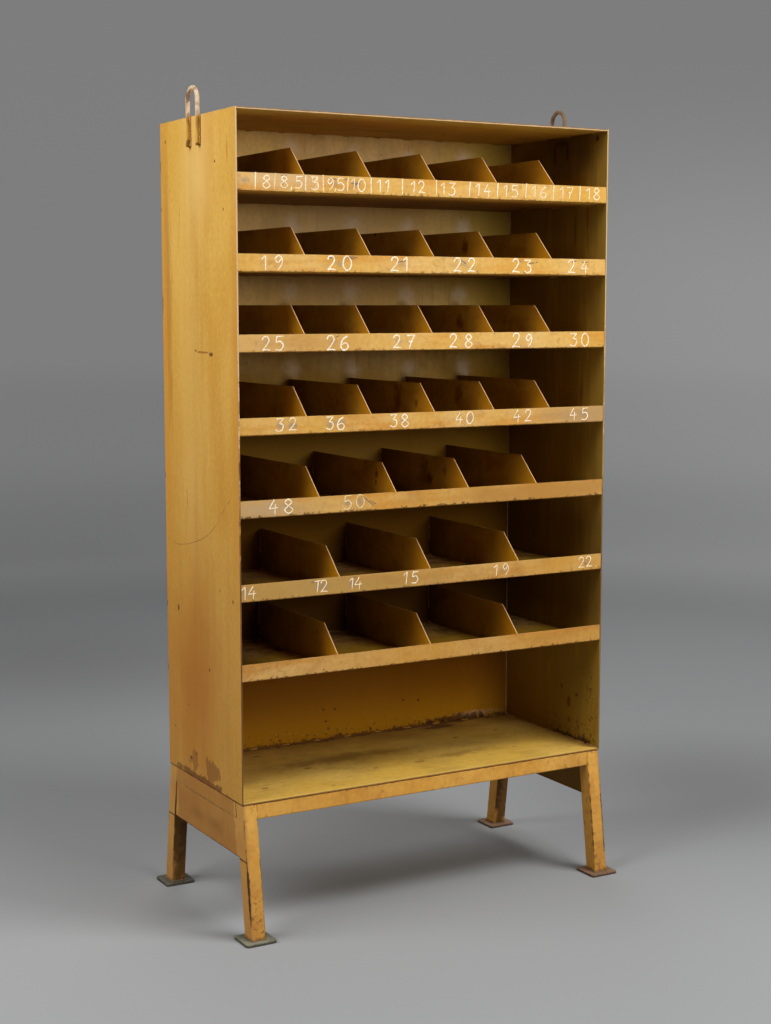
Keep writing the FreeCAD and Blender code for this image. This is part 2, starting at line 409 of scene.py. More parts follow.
def side_panel_finish():
    skin = 1.5
    marks = marks_on(X, outside_left, skin, [
        # orange along the two upright edges, and a browner lower half
        (ORANGE_OCHRE, 0.7, back, 1.3, 70, 900, 0.7, 6, 0.0),
        (ORANGE_OCHRE, 0.6, front, 1.2, 60, 900, 0.7, 6, 0.0),
        (0xA4621E, 0.75, 0.06, 0.56, 220, 340, 0.8, 6, 0.0),
        (0xE6BE70, 0.65, 0.0, 1.76, 150, 280, 0.6, 6, 0.0),
        # rust runs under the two feet of the lifting loop
        (BROWN_OCHRE, 0.7, 0.040, 1.838, 6, 30, 1.1, 70),
        (RUST, 0.6, 0.037, 1.797, 5, 9, 1.1, 70),
        (BROWN_OCHRE, 0.5, -0.022, 1.836, 5, 30, 1.2, 70),
        (RUST, 0.7, -0.018, 1.797, 4, 5, 1.1, 70),
        (0xBA7C1E, 0.7, -0.167, 1.775, 7, 34, 1.2, 70, 0.2),
        # old scrape, and brown patches low down
        (BROWN_OCHRE, 0.9, -0.020, 1.331, 44, 3, 1.0, 70),
        (RUST, 0.85, -0.068, 1.327, 13, 6, 1.0, 70),
        (RUST, 0.8, 0.018, 1.334, 7, 3, 0.9, 70),
        (0x845422, 0.8, -0.052, 0.352, 40, 30, 2.4, 26, 0.8),
        (0x8A5A26, 0.75, 0.058, 0.356, 24, 30, 3.0, 45, 0.8),
        (RUST, 0.75, 0.02, bottom + 4 * MM, 160, 12, 2.6, 45, 0.5),
    ])
    # scuffed front edges, pale high up and rusty low down
    marks += front_edge_mark(0x9E7242, 0.85)
    marks += front_edge_mark(RUST, 0.75, 0.55, 550, 3.0, 26)
    marks += front_edge_mark(WORN_PRIMER, 0.8, 1.7, 600, 2.2, 45)
    marks += seam_mark(0.9, bottom - 1 * MM, 3.4)
    marks += marks_on(X, inside_right, skin, [
        # heat marks behind the right-hand lifting loop, and dark runs down the sheet
        (0x9E802C, 0.75, 0.0, 1.1, FAR, FAR, 0.2, 10),
        (DEEP_RUST, 0.75, 0.008, 1.820, 7, 32, 1.0, 45),
        (DEEP_RUST, 0.75, -0.046, 1.820, 7, 28, 1.0, 45),
        (DEEP_RUST, 0.6, -0.018, 1.844, 36, 9, 1.0, 45),
        (DARK_BROWN, 0.6, 0.115, 1.800, 90, 60, 0.8, 16, 0.2),
        (DEEP_RUST, 0.85, -0.172, 1.846, 10, 9, 0.9, 70),
        (RUST, 0.7, -0.082, 0.410, 9, 16, 2.0, 70),
        (RUST, 0.7, -0.118, 0.435, 8, 5, 2.0, 110),
        (RUST, 0.6, -0.051, 0.446, 6, 7, 2.0, 110),
        (0xBA923C, 0.4, 0.01, 0.47, 5, 34, 1.6, 70),
        (DARK_BROWN, 0.6, -0.135, 1.640, 9, 75, 1.3, 26, 0.1),
        (DARK_BROWN, 0.5, -0.085, 1.630, 7, 70, 1.3, 26, 0.1),
        (DARK_BROWN, 0.5, -0.120, 1.220, 12, 60, 1.4, 26, 0.1),
        # rust crust along the seam with the bottom shelf
        (DEEP_RUST, 0.85, -0.07, shelf_top, 120, 15, 2.4, 70, 0.4),
        (DEEP_RUST, 0.8, -0.15, shelf_top, 50, 24, 2.4, 70, 0.3),
        # painted shade on the right-hand panel beside the lower trays
        (0x462C0E, 0.45, 0.0, 0.78, FAR, 200, 0.4, 6, 0.5),
        # dark heat marks at the top
        (0x40280A, 0.7, -0.05, 1.85, 190, 140, 0.4, 6, 0.4),
    ])
    # sparse rust specks low down
    marks += marks_on(X, inside_right - skin * MM, skin, [
        (RUST, 0.8, -0.09, 0.335, 160, 80, 2.6, 70),
        (RUST, 0.7, -0.18, 0.42, 50, 160, 2.6, 110),
    ])
    marks += marks_on(X, outside_left, skin, [(RUST, 0.85, *chip, 1.2, 110) for chip in SIDE_CHIPS])
    runs = marks_on(X, inside_right, skin, [
        # darker towards the back of the right-hand panel: dark runs, and painted shade
        (0x301A06, 0.9, 0.18, 1.1, 230, FAR, 1.2, 26, 0.3),
        (0x704216, 0.6, front, 1.1, 50, FAR, 1.6, 26, 0.1),
        (0x926200, 0.7, 0.0, 0.42, FAR, 240, 0.6, 6, 0.4),
        (0x684408, 0.6, -0.08, 0.45, 150, 170, 3.2, 26, 0.2),
        (0x40220A, 0.75, -0.06, 1.1, 120, FAR, 5.0, 26, 0.0),
        (0x40220A, 0.6, -0.08, 1.1, 100, FAR, 5.0, 70, 0.0),
    ]) + marks_on(X, outside_left, skin, [
        (BROWN_OCHRE, 0.5, 0.175, 1.45, 26, 400, 2.2, 70, 0.2),
        (0xE4BA6C, 0.25, 0.05, 1.2, 120, 600, 1.6, 45, 0.1),
        (0x965C22, 0.2, 0.0, 0.6, 170, 400, 2.0, 45, 0.1),
    ])
    return enamel(
        "side_panel_paint", marks, runs, wave=2.5, Grain=(15, 15, 0.8), Mottle=0.45, Smears=0.5,
        Streaks=0.16, Scratch_Grain=(110, 110, 3), Scratches=0.14, Low_Grime=0.6, Grime_High=1.7,
        Crevice=0.7, Reach=30 * MM, Speck_Share=0.1, Chip_Share=0.08)


def top_panel_finish():
    marks = front_edge_mark(0xC4A076, 0.9)
    marks += marks_on(Z, top, 2, [(DARK_BROWN, 0.7, 0.0, front, FAR, 2, 2.4, 45)])
    return enamel(
        "top_panel_paint", marks, Paint=0xD4AC42, Grain=(5, 14, 5), Smears=0.6, Streaks=0.4,
        Scratch_Grain=(8, 90, 60), Scratches=0.4, Low_Grime=0.0, Crevice=0.6, Dustiness=0.5, Wear=0.5,
        Speck_Share=0.3, Gloss=0.3)


BAY_SPECKS = [(-0.072, 0.395), (-0.038, 0.393), (-0.065, 0.363), (-0.058, 0.344), (-0.023, 0.326),
              (-0.198, 0.329), (0.069, 0.328), (0.168, 0.393), (0.215, 0.388)]
LAST_SMOKED_ROW = 4


def back_panel_finish():
    rows = [
        # paler upper rows: dust, with painted sheen
        (0xCEAA7A, 0.5, -0.05, 1.62, 500, 300, 0.6, 6, 0.0),
        # more olive to the right; darker below, painted shade on the lower rows and the last tray's bay;
        # golden in the bottom bay, painted light bounced off the shelf
        (0xA6862C, 0.85, 0.47, 1.6, 300, 900, 0.5, 6, 0.1),
        (0x885F04, 0.9, 0.0, 0.98, FAR, 380, 0.4, 6, 0.6),
        (0x724A04, 0.9, 0.0, 0.79, FAR, 200, 0.4, 6, 0.5),
        (0x845000, 0.97, 0.0, 0.42, FAR, 260, 0.4, 6, 0.5),
        (0x523202, 0.98, 0.0, 0.687, FAR, 92, 0.1, 6, 0.92),
        (0xAA760A, 0.5, 0.0, shelf_top, FAR, 130, 0.4, 6, 0.0),
    ]
    for name, (lo, hi) in divider_boxes.items():
        if int(name.split("_")[1]) <= LAST_SMOKED_ROW:
            # pale smoke of the weld above each divider with painted sheen on it, and a painted shadow of the
            # divider beside it
            x = (lo.x + hi.x) / 2
            rows += [(0xE2CEB4, 0.5, x + 8 * MM, hi.z + 26 * MM, 34, 40, 1.8, 26, 0.0),
                     (0x462C12, 0.5, x - 8 * MM, hi.z - 4 * MM, 26, 24, 0.9, 26, 0.0)]
    rows += [
        # rust along the ceiling, and dirt and rust along the bottom shelf
        (DEEP_RUST, 0.85, 0.0, ceiling + 8 * MM, FAR, 7.5, 2.2, 45, 0.7),
        (DARK_BROWN, 0.8, 0.0, shelf_top - 4 * MM, FAR, 12, 2.2, 70),
        (DARK_BROWN, 0.8, 0.0, shelf_top - 0.1, FAR, 100, 3.0, 110, 0.7),
        (0xC4A078, 0.4, 0.40, shelf_top + 14 * MM, 100, 12, 1.2, 45, 0.2),
        (DEEP_RUST, 0.8, 0.34, shelf_top + 8 * MM, 140, 14, 2.4, 70, 0.4),
        (RUST, 0.7, 0.07, 1.405, 6, 10, 1.4, 70),
        (RUST, 0.6, 0.153, shelf_top, 20, 9, 1.4, 70),
    ]
    rows += [(RUST, 0.75, x, z, 5, 4, 1.6, 110) for x, z in BAY_SPECKS]
    runs = [
        (0x64420E, 0.6, 0.26, 0.43, 280, 160, 2.4, 70, 0.2),
        (0x967436, 0.4, 0.05, 1.55, 500, 400, 1.4, 26, 0.3),
    ]
    marks, runs = (marks_on(Y, back_face, 1.1, table) for table in (rows, runs))
    return enamel(
        "back_panel_paint", marks, runs, specular=0.05, Paint=0xECC068, Faded=0xF0CC8C, Smear=0xCE9648,
        Grime=0x966A2C, Grain=(9, 26, 5), Mottle=0.8, Smears=0.35, Streaks=0.2, Low_Grime=0.1, Crevice=0.7,
        Reach=45 * MM, Wear=0.3, Speck_Share=0.45, Chip_Share=0.35, Gloss=0.7)


# Dirt spots on the bottom shelf: place along the width and towards the back, reach in mm
SHELF_SPECKS = [(-0.232, -0.016, 9), (-0.089, -0.094, 6), (0.036, -0.099, 9), (-0.059, 0.198, 8),
                (-0.399, -0.120, 7), (-0.295, 0.144, 8), (0.237, 0.059, 8), (0.317, -0.094, 5),
                (0.371, 0.073, 5)]


def bottom_shelf_finish():
    # painted shade: the shelf darker towards the back
    marks = marks_on(Z, shelf_top, 20, [(0x7E541A, 0.7, 0.0, back_face, FAR, 160, 0.8, 10, 0.0)])
    marks += front_edge_mark(0x845424, 0.85)
    marks += marks_on(Z, shelf_top, 0.6, [(0xE0BC64, 0.5, 0.0, front, FAR, 16, 1.0, 26, 0.2)])
    marks += marks_on(Z, shelf_top, 20, [
        (RUST, 0.75, 0.26, 0.178, 66, 20, 1.1, 45),
        (DARK_BROWN, 0.6, 0.155, 0.2, 26, 10, 1.2, 70),
        (0x805C22, 0.6, -0.12, 0.03, 260, 50, 1.8, 16, 0.1),
        (0x7A541E, 0.5, 0.15, -0.08, 160, 30, 2.4, 26, 0.1),
        (DARK_BROWN, 0.7, 0.0, back_face + 4 * MM, FAR, 22, 2.8, 45),
        *((DARK_BROWN, 0.6, x, y, 2 * reach, reach, 2.4, 70, 0.3) for x, y, reach in SHELF_SPECKS),
    ])
    return enamel(
        "bottom_shelf_paint", marks, Paint=GREEN_OCHRE, Faded=0xE0B856, Smear=0xB08632, Grime=0x825A1C,
        Grain=(11, 17, 9), Mottle=0.7, Streaks=0.25, Scratch_Grain=(30, 120, 60), Scratches=0.4,
        Low_Grime=0.0, Crevice=0.8, Reach=50 * MM, Dustiness=0.1, Wear=0.5, Speck_Share=0.55, Chip_Share=0.3,
        Gloss=0.4)


# Grey rubbed patches behind the numbers: tray, middle in mm, strength
SMUDGES = [
    (1, -480, 0.5), (1, -255, 0.4), (1, -200, 0.7), (2, -246, 0.5), (2, -86, 0.35), (2, 87, 0.45),
    (3, -430, 0.35), (3, -262, 0.4), (3, -92, 0.35), (4, -396, 0.6), (4, -366, 0.8), (4, -270, 0.6),
    (4, -245, 0.6), (4, -78, 0.6), (4, 104, 0.4), (4, 240, 0.4), (4, 436, 0.5), (5, -378, 0.7),
    (5, -226, 0.7), (5, -194, 0.7), (6, -305, 0.5), (6, -288, 0.5), (6, -215, 0.6), (6, -48, 0.4),
    (6, -486, 0.4), (6, 206, 0.4), (6, 450, 0.4),
]


def tray_finish():
    marks = []
    for low in tray_low.values():
        marks += seam_mark(0.7, low - 1 * MM, 3.5)
    # stretches of lip that are paler or browner
    marks += marks_on(Y, lip_face, 4, [
        (0xCEAC7E, 0.6, -0.36, 1.72, 160, 40, 0.8, 16, 0.2),
        (0xB4844A, 0.5, -0.36, 1.354, 300, 40, 0.8, 16, 0.1),
        (0xA8865C, 0.75, 0.44, 1.170, 240, 40, 0.8, 16, 0.2),
        (0xA6722E, 0.75, 0.34, 0.986, 500, 40, 0.8, 10, 0.2),
        (0xB4966E, 0.75, -0.44, 0.986, 200, 40, 0.8, 16, 0.1),
        (0xA48042, 0.7, -0.30, 0.798, 600, 40, 0.6, 10, 0.2),
    ])
    for row, low in tray_low.items():
        dirty = 1.0 if row in (5, 7) else 0.6
        # specks along the foot of the lip, an underside paler near the front in painted light, and a floor
        # that is golden near the front and darker on the left in a painted shadow of the left-hand panel
        marks += marks_on(Y, lip_face, 4, [
            (RUST, 0.85 * dirty, 0.0, low - 12 * MM, FAR, 14, 3.2, 110, 0.8),
            (BROWN_OCHRE, 0.6 * dirty, 0.0, low - 2 * MM, FAR, 6, 1.6, 70, 0.2)])
        marks += marks_on(Z, low, 0.5, [(0xE8B23C, 0.6, 0.0, lip_face, FAR, 120, 0.3, 6, 0.1)])
        marks += marks_on(Z, low + 2 * MM, 0.6, [
            (0xD8A81E, 0.9, 0.0, -0.08, FAR, 170, 0.5, 10, 0.2),
            (0x543808, 0.8, -0.46, 0.0, 200, 250, 0.9, 10, 0.2)])
    marks += marks_on(Y, lip_face, 4, [
        (0x8C7C6C, strength, x * MM, tray_low[row] + 22 * MM, 17, 13, 1.6, 70, 0.0)
        for row, x, strength in SMUDGES])
    return enamel(
        "tray_paint", marks, Paint=0xD3A044, Faded=0xDBB169, Smear=0xCD8E32, Grime=0x9C6628,
        Grain=(11, 14, 20), Mottle=0.9, Smears=0.8, Streaks=0.35, Scratch_Grain=(60, 60, 60), Scratches=0.25,
        Low_Grime=0.5, Grime_Low=0.5, Grime_High=1.5, Crevice=0.6, Reach=26 * MM, Dustiness=0.1,
        Edge_Width=1.0 * MM, Speck_Share=0.4, Chip_Share=0.3, Gloss=0.45)


# Dark blotches on the dividers' left faces: place, then reach in mm and strength
DIVIDER_BLOTCHES = [
    (0.007, -0.040, 1.215, 30, 0.7), (0.007, -0.128, 1.206, 9, 0.6), (-0.164, -0.048, 1.212, 9, 0.6),
    (0.174, -0.050, 1.215, 24, 0.6), (-0.299, -0.003, 1.057, 9, 0.6), (-0.097, -0.120, 1.040, 12, 0.8),
    (-0.097, -0.115, 1.020, 8, 0.8), (0.102, -0.010, 1.022, 40, 0.6), (0.102, -0.030, 1.014, 18, 0.8),
    (0.102, -0.103, 1.038, 14, 0.6), (0.169, -0.086, 1.578, 22, 0.8), (0.171, -0.059, 1.397, 20, 0.7),
]


def divider_finish():
    # painted light and shade: golden towards the front of each divider, darker towards the back
    marks = marks_on(X, 0.0, FAR, [
        (0xE8A40C, 0.9, lip_face, 1.0, 130, FAR, 0.6, 10, 0.0),
        (DARK_BROWN, 0.65, back_face, 1.0, 200, FAR, 1.2, 10, 0.0),
    ])
    # painted shade: the left-hand ones darker low down and in the top tray
    for z, reach, high in ((0.76, 120, 200), (1.75, 60, 80)):
        marks += marks_on(X, -0.33, reach, [(0x3C2208, 0.6, 0.04, z, 200, high, 0.6, 10, 0.2)])
    for x, y, z, reach, strength in DIVIDER_BLOTCHES:
        marks += marks_on(X, x, 30, [(0x542C0C, strength, y, z, reach, 1.3 * reach, 2.0, 45, 0.2)])
    return enamel(
        "divider_paint", marks, cut=0xCEA474, Paint=0xAE8A28, Faded=0xBC983E, Smear=0x986A1A, Grime=0x644414,
        Worn=0x966428, Grain=(14, 14, 9), Smears=0.6, Streaks=0.4, Scratch_Grain=(40, 40, 60),
        Low_Grime=0.25, Grime_Low=0.6, Grime_High=1.3, Crevice=0.7, Reach=45 * MM, Dustiness=0.3, Wear=0.5,
        Edge_Width=0.8 * MM, Speck_Share=0.25, Chip_Share=0.35, Gloss=0.35)


LEG_LEAN = math.tan(math.radians(8.0))


def folded_legs(n, where):
    """Places with the four legs folded on to one, upright, so that one mark serves them all."""
    place = n.xyz(where)
    drop = n.math("MAXIMUM", bottom - place.Z)
    out = n.math("ABSOLUTE", place.Y) - drop * LEG_LEAN
    return n.add("ShaderNodeCombineXYZ", {0: n.math("ABSOLUTE", place.X), 1: out, 2: place.Z})[0]


def stand_finish():
    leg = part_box("front_left_leg")
    outer, inner = -leg[0].x, -leg[1].x
    middle = (outer + inner) / 2
    face = -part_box("front_rail")[0].y
    hidden = face - 40 * MM
    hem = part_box("left_apron")[0].z
    apron_inside = -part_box("left_apron")[1].x
    marks = [
        (0xAC7C42, 0.6, (outer, 0.0, 0.2), (11, 1000, 1000), 0.4, 10, 0.3),
        (0x804C18, 0.45, (outer, 0.0, 0.2), (11, 170, 1000), 0.3, 10, 0.92),
        (0x704820, 0.4, (outer, 0.03, 0.225), (16, 90, 26), 1.4, 26, 0.0),
        # painted highlight and painted shadow where the apron meets its rail
        (0xF0C674, 0.7, (outer, 0.0, rail_bottom + 0.5 * MM), (16, 165, 1.5), 0.4, 70, 0.8),
        (DARK_BROWN, 0.6, (outer, 0.0, rail_bottom - 2.2 * MM), (16, 165, 1.8), 1.2, 70),
        # rust along the corners of the tubes and the hems of rails and aprons
        (DEEP_RUST, 0.9, (outer, face, 0.13), (5, 5, 100), 2.4, 45),
        (DEEP_RUST, 0.7, (outer, face, 0.16), (3, 3, 190), 2.4, 26, 0.5),
        (DEEP_RUST, 0.75, (inner, face, 0.12), (3, 4, 180), 2.6, 45, 0.5),
        (DEEP_RUST, 0.7, (outer, hidden, 0.14), (3, 3, 180), 2.4, 45, 0.5),
        (DEEP_RUST, 0.8, (0.0, face, rail_bottom), (inner / MM, 9, 2.6), 2.2, 45, 0.5),
        (DEEP_RUST, 0.85, (outer, 0.0, hem), (8, FAR, 2.6), 1.6, 45, 0.5),
        (RUST, 0.7, (middle, face - 20 * MM, plate_top), (40, 60, 10), 2.0, 70, 0.3),
        (0x745412, 0.85, (apron_inside, 0.0, hem), (1, 165, 200), 0.1, 16, 0.85),
        # faces of the rear legs that look forwards: painted shade over them, and rust
        (0x442A06, 0.88, (middle, hidden, 0.15), (30, 3, 240), 1.2, 26, 0.5),
        (DEEP_RUST, 0.6, (inner, hidden, 0.11), (24, 3, 90), 3.4, 70, 0.4),
        # specks on the front faces near the feet, and chips along the top of the front rail
        (0x74401A, 0.8, (middle, face + 3 * MM, 0.0), (60, 3, 160), 2.8, 110),
        (RUST, 0.7, (0.0, face + 3 * MM, rail_top), (FAR, 3, 20), 2.6, 110),
        *seam_mark(0.9, bottom, 3.2),
    ]
    return enamel(
        "stand_paint", marks, fold=folded_legs, Paint=0xD0963C, Faded=0xDAA852, Smear=0xB87A2C,
        Worn=0x462610, Rust=DEEP_RUST, Grain=(20, 20, 6), Mottle=0.6, Smears=0.7, Streaks=0.35,
        Scratch_Grain=(60, 60, 60), Scratches=0.4, Low_Grime=0.45, Grime_Low=0.0, Grime_High=0.35,
        Crevice=0.8, Reach=18 * MM, Wear=0.62, Edge_Width=1.6 * MM, Speck_Share=0.45, Chip_Share=0.4,
        Gloss=0.4)


def loop_finish():
    lo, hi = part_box("left_lifting_loop")
    bar = hi.x - lo.x
    # painted with the panel up to its top edge, rusty where it passes that edge
    marks = marks_on(Z, top - 0.1, 100, [(OCHRE, 0.95, 0.0, 0.0, FAR, FAR, 0.06, 70, 0.94)])
    marks += marks_on(X, 0.0, FAR, [
        (0x966228, 0.6, hi.y - bar, top - 6 * MM, 5, 16, 1.6, 70),
        (RUST, 0.8, hi.y - bar, lo.z + 4 * MM, 7, 14, 1.2, 70),
        (0xA06C2C, 0.5, lo.y, top - 16 * MM, 4, 30, 1.6, 70),
        (RUST, 0.8, lo.y + 3 * MM, lo.z + 2 * MM, 5, 5, 1.0, 70),
        (0x603C2A, 0.8, hi.y - bar, hi.z - 22 * MM, 5, 16, 1.2, 70),
        (0x6E462E, 0.7, lo.y + bar, hi.z - 40 * MM, 4, 26, 1.4, 70),
    ])
    # the right-hand loop darker
    marks += marks_on(X, hi.x + 1.0, 500, [(0x503C2E, 0.85, 0.0, hi.z, FAR, FAR, 0.3, 26)])
    return enamel(
        "loop_paint", marks, Paint=0xCEB290, Faded=0xE2CCAC, Smear=0xAA805A, Grime=0x70482E,
        Grain=(60, 60, 40), Mottle=0.8, Smears=0.7, Streaks=0.7, Low_Grime=0.0, Crevice=0.3, Reach=6 * MM,
        Wear=0.3, Speck_Share=0.7, Gloss=0.4)


def foot_plate_finish():
    """Bare hot-rolled steel, grey-brown, with darker oxidised edges."""
    material, n, where = new_material("foot_plate_steel")
    place = n.xyz(where)
    cloud = n.noise(where, 26, 5, 0.6)
    fine = n.noise(where, 210, 4, 0.6)
    n.colour = n.mix(cloud.span(0.35, 0.65), 0x706E5C, 0x8E8E7A)
    # the plate behind on the left is darker, a painted shadow, and the two right-hand plates are browner
    add_marks(n, where, where, [(0x464034, 0.75, (-0.46, 0.26, 0.0), (100, 100, 100), 0.6, 26)])
    n.coat(place.X.span(-0.1, 0.1, 0.0, 0.85), 0x926C4E)
    n.coat(fine.span(0.5, 0.7) * 0.5, 0x4A3C2E)
    # corners round the legs darkened by an occlusion mask: dirt, and painted shade
    dirt = n.group(CREVICE_DIRT_AND_SHADE, Vector=where, Reach=14 * MM, Amount=0.8).Mask
    n.coat(dirt, 0x3A2414)
    edge = n.group(EDGE_WEAR, Vector=where, Width=1.4 * MM, Amount=0.6).Mask
    n.coat(edge * 0.7, 0x34281E)
    rim = place.Z - (fine - 0.5) * (3 * MM)
    n.coat(rim.span(plate_top - 0.6 * MM, plate_top - 1.8 * MM, 0.0, 0.8), 0x382E22)
    surface(n, fine.span(0.3, 0.7, 0.5, 0.8), cloud + fine * 0.6, 0.6, 0.5 * MM,
            Metallic=0.35 - dirt * 0.35)
    return material


def weld_finish(name, **look):
    """Weld beads under old paint, with rust in their ripples."""
    usual = dict(
        bump=0.5, Paint=0xCE9E4A, Faded=0xD8B478, Grime=0x76481E, Grain=(60, 60, 60), Mottle=0.8, Smears=0.5,
        Streaks=0.6, Low_Grime=0.0, Reach=5 * MM, Wear=0.2, Speck_Share=0.45)
    return enamel(name, **{**usual, **look})


def thin_finish(name, noise, worn, fading, colour, under, rough, bump):
    """Thin strokes over the enamel, which shows where they are worn and where they fade. The noise is its
    scale, detail and roughness, and worn is the span of it over which the strokes give way."""
    material, n, where = new_material(name)
    fade = n.add("ShaderNodeAttribute", attribute_name="fade").Fac
    grain = n.noise(where, *noise)
    n.colour = n.mix((grain.span(*worn) + fade * fading).clamped(), colour, under)
    surface(n, grain.span(0.3, 0.7, *rough), grain, bump)
    return material


def dress_nodes():
    """Puts the finishes on the CAD nodes, by the record's slots."""
    finishes = {
        "side_panel_paint": side_panel_finish(),
        "top_panel_paint": top_panel_finish(),
        "back_panel_paint": back_panel_finish(),
        "bottom_shelf_paint": bottom_shelf_finish(),
        "tray_paint": tray_finish(),
        "divider_paint": divider_finish(),
        "stand_paint": stand_finish(),
        "loop_paint": loop_finish(),
        "foot_plate_steel": foot_plate_finish(),
    }
    for part in frame["record"]["subparts"]:
        for slot in frame["nodes"][part["node"]].material_slots:
            slot.material = finishes[part["material_slot"]]


# ---------------- pieces made by geometry nodes

def path_mesh(name, paths):
    """Mesh of open edge chains. Each path is (points, half width, fade), kept as point attributes."""
    mesh = bpy.data.meshes.new(name)
    points, edges, radii, fades = [], [], [], []
    for chain, radius, fade in paths:
        start = len(points)
        points += chain
        edges += [(start + k, start + k + 1) for k in range(len(chain) - 1)]
        radii += [radius] * len(chain) if isinstance(radius, float) else radius
        fades += [fade] * len(chain)
    mesh.from_pydata(points, edges, [])
    mesh.attributes.new("half_width", "FLOAT", "POINT").data.foreach_set("value", radii)
    mesh.attributes.new("fade", "FLOAT", "POINT").data.foreach_set("value", fades)
    return mesh


def even_path(n, mesh, step):
    curve = n.add("GeometryNodeMeshToCurve", {"Mesh": mesh})[0]
    return n.add("GeometryNodeResampleCurve", {"Curve": curve, "Length": step}, mode="LENGTH")[0]


def half_width(n):
    node = n.add("GeometryNodeInputNamedAttribute", {"Name": "half_width"}, data_type="FLOAT")
    return node.Attribute


def random_value(n, given, low, high):
    return n.add("FunctionNodeRandomValue", {2: low, 3: high, "Seed": given.Seed}, data_type="FLOAT")[1]


def finish_geometry(n, given, geometry):
    """Ends a tree: real mesh, smooth, with the given material."""
    real = n.add("GeometryNodeRealizeInstances", {"Geometry": geometry})[0]
    smooth = n.add("GeometryNodeSetShadeSmooth", {"Geometry": real})[0]
    done = n.add("GeometryNodeSetMaterial", {"Geometry": smooth, "Material": given.Material})[0]
    return n.give(Geometry=done)


def weld_bead_tree():
    """Stick-weld bead along each path: overlapping ripples on a core."""
    n, given = new_group(
        "weld_bead", "Geometry", Geometry="Geometry", Ripple_Spacing="Float", Unevenness="Float", Seed="Int",
        Material="Material")
    vary = random_value(n, given, 1.0 - given.Unevenness, given.Unevenness + 1.0)
    size = half_width(n) * vary
    flattened = n.add("ShaderNodeCombineXYZ", {0: size, 1: size, 2: size * 0.62})[0]
    tangent = n.add("GeometryNodeInputTangent")[0]
    turn = n.add("FunctionNodeAlignRotationToVector", {"Vector": tangent}, axis="Z")[0]
    drop = n.add("GeometryNodeMeshUVSphere", {"Segments": 8, "Rings": 5, "Radius": 1.0})[0]
    ripples = n.add("GeometryNodeInstanceOnPoints", {
        "Points": even_path(n, given.Geometry, given.Ripple_Spacing), "Instance": drop, "Rotation": turn,
        "Scale": flattened})[0]
    return finish_geometry(n, given, ripples)


def brush_stroke_tree():
    """Thin ridge of paint along each path, pressed flat against a sheet."""
    n, given = new_group(
        "brush_stroke", "Geometry", Geometry="Geometry", Facing="Vector", Face="Float", Thickness="Float",
        Raggedness="Float", Material="Material")
    place = n.add("GeometryNodeInputPosition")[0]
    shake = (n.noise(place, 330, 2, 0.5) - 0.5) * given.Raggedness
    ring = n.add("GeometryNodeCurvePrimitiveCircle", {"Resolution": 8, "Radius": 1.0})[0]
    ridge = n.add("GeometryNodeCurveToMesh", {
        "Curve": even_path(n, given.Geometry, 1.2 * MM), "Profile Curve": ring,
        "Scale": half_width(n) * (shake + 1.0), "Fill Caps": True})[0]
    depth = place.along(given.Facing) - given.Face
    squash = given.Thickness / (2 * MM) - 1.0
    inwards = n.add("ShaderNodeVectorMath", {0: given.Facing, "Scale": depth * squash}, operation="SCALE")[0]
    pressed = n.add("GeometryNodeSetPosition", {"Geometry": ridge, "Offset": inwards})[0]
    return finish_geometry(n, given, pressed)


def spatter_tree():
    """Small balls of weld spatter strewn over patches of sheet."""
    n, given = new_group(
        "weld_spatter", "Geometry", Geometry="Geometry", Density="Float", Size="Float", Seed="Int",
        Material="Material")
    points = n.add("GeometryNodeDistributePointsOnFaces", {
        "Mesh": given.Geometry, "Density": given.Density, "Seed": given.Seed})[0]
    ball = n.add("GeometryNodeMeshIcoSphere", {"Radius": 1.0, "Subdivisions": 1})[0]
    balls = n.add("GeometryNodeInstanceOnPoints", {
        "Points": points, "Instance": ball, "Scale": given.Size * random_value(n, given, 0.4, 1.3)})[0]
    return finish_geometry(n, given, balls)


def grown(name, mesh, tree, slot, **values):
    """Runs a geometry node tree over a mesh and keeps the result as a plain piece of the rack."""
    seed_object = bpy.data.objects.new(name + "_paths", mesh)
    bpy.context.scene.collection.objects.link(seed_object)
    modifier = seed_object.modifiers.new(tree.name, "NODES")
    modifier.node_group = tree
    for item in tree.interface.items_tree:
        label = item.name.replace(" ", "_")
        if item.in_out == "INPUT" and label in values:
            modifier[item.identifier] = values[label]
    depsgraph = bpy.context.evaluated_depsgraph_get()
    result = bpy.data.meshes.new_from_object(seed_object.evaluated_get(depsgraph))
    bpy.data.objects.remove(seed_object)
    result.name = name
    piece = bpy.data.objects.new(name, result)
    bpy.context.scene.collection.objects.link(piece)
    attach(piece, "root")


# ---------------- welds

WALLS = (inside_left, inside_right)


def line(start, end, half_width=2.6):
    """One straight bead, with its half width in mm."""
    return ([Vector(start), Vector(end)], half_width * MM, 0.0)


def stitches(start, end, count, length, half_width=2.6):
    """Short weld runs spread evenly along a seam, their length and half width in mm."""
    start, end = Vector(start), Vector(end)
    along = (end - start).normalized()
    gap = (end - start).length / count
    length *= MM
    for k in range(count):
        middle = start + along * gap * (k + 0.5)
        yield line(middle - along * length / 2, middle + along * length / 2, half_width)


def shell_welds():
    """Seams of the cabinet shell, inside and at the back."""
    near = front + 8 * MM
    for wall in WALLS:
        yield from stitches((wall, near, shelf_top), (wall, back_face, shelf_top), 9, 34, 3)
        yield from stitches((wall, near, ceiling), (wall, back_face, ceiling), 4, 14, 2.8)
        yield from stitches((wall, back, bottom), (wall, back, top), 11, 36, 2.2)
    for z, length in ((shelf_top, 16), (ceiling, 14)):
        yield from stitches((inside_left, back_face, z), (inside_right, back_face, z), 11, length)


def corner_welds():
    """Upright corners behind, where the beads have paler paint, a painted highlight."""
    return [line((wall, back_face, shelf_top), (wall, back_face, ceiling), 2.2) for wall in WALLS]


